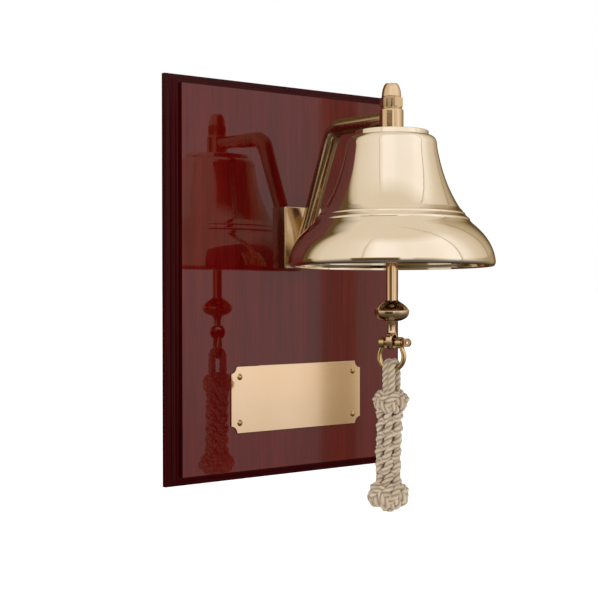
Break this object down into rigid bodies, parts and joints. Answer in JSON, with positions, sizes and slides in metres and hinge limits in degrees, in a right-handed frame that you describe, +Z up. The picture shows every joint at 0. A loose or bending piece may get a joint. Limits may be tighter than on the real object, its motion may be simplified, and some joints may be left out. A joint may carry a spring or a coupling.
{
  "type": "ship bell",
  "caption": "Wall-mounted brass bell with a swinging clapper and braided rope pull, hung from a cast bracket on a moulded wooden plaque with a blank engraving plate.",
  "frame": {"origin": "centre of the plaque's flat back face, where it meets the wall", "axes": "+X right along the wall as seen from in front, +Y into the wall, +Z up; the bell hangs towards -Y"},
  "size_m": [0.231, 0.1996, 0.3175],
  "materials": {
    "mahogany": "high-gloss lacquer",
    "bell_brass": "mirror polished",
    "fitting_brass": "polished",
    "satin_brass": "satin",
    "copper_pin": "polished",
    "zinc_steel": "zinc plated",
    "cotton_rope": "natural cotton"
  },
  "bodies": {
    "root": {"plaque": "mahogany", "engraving_plate": "satin_brass", "plate_pins": "fitting_brass", "bracket": "fitting_brass", "bracket_bolts": "zinc_steel", "bracket_washers": "zinc_steel", "hanger_plates": "zinc_steel", "hanger_screws": "zinc_steel", "bell": "bell_brass", "eye_bolt": "fitting_brass", "crown_washer": "fitting_brass", "crown_nut": "fitting_brass", "top_washer": "fitting_brass", "acorn_nut": "bell_brass"},
    "link": {"clapper_link": "fitting_brass"},
    "clapper": {"clapper_rod": "fitting_brass", "clapper_ball": "fitting_brass", "clapper_tail": "fitting_brass"},
    "shackle": {"shackle_bow": "fitting_brass", "shackle_pin": "copper_pin"},
    "rope": {"rope_eye": "cotton_rope", "upper_knot": "cotton_rope", "rope_braid": "cotton_rope", "bottom_knob": "cotton_rope"}
  },
  "joints": [
    {"name": "clapper_swing", "type": "hinge", "parent": "root", "child": "link", "pos_m": [0, -0.124, 0.0874], "axis": [0, 1, 0], "range_deg": [-35.4, 37.2]},
    {"name": "clapper_cross", "type": "hinge", "parent": "link", "child": "clapper", "pos_m": [0, -0.124, 0.0784], "axis": [1, 0, 0], "range_deg": [-5, 5]},
    {"name": "shackle_swing", "type": "hinge", "parent": "clapper", "child": "shackle", "pos_m": [0, -0.124, -0.0449], "axis": [0.3907, -0.9205, 0], "range_deg": [-60, 60]},
    {"name": "rope_sway", "type": "hinge", "parent": "shackle", "child": "rope", "pos_m": [0, -0.124, -0.0548], "axis": [0.9205, 0.3907, 0], "range_deg": [-30, 25]}
  ]
}
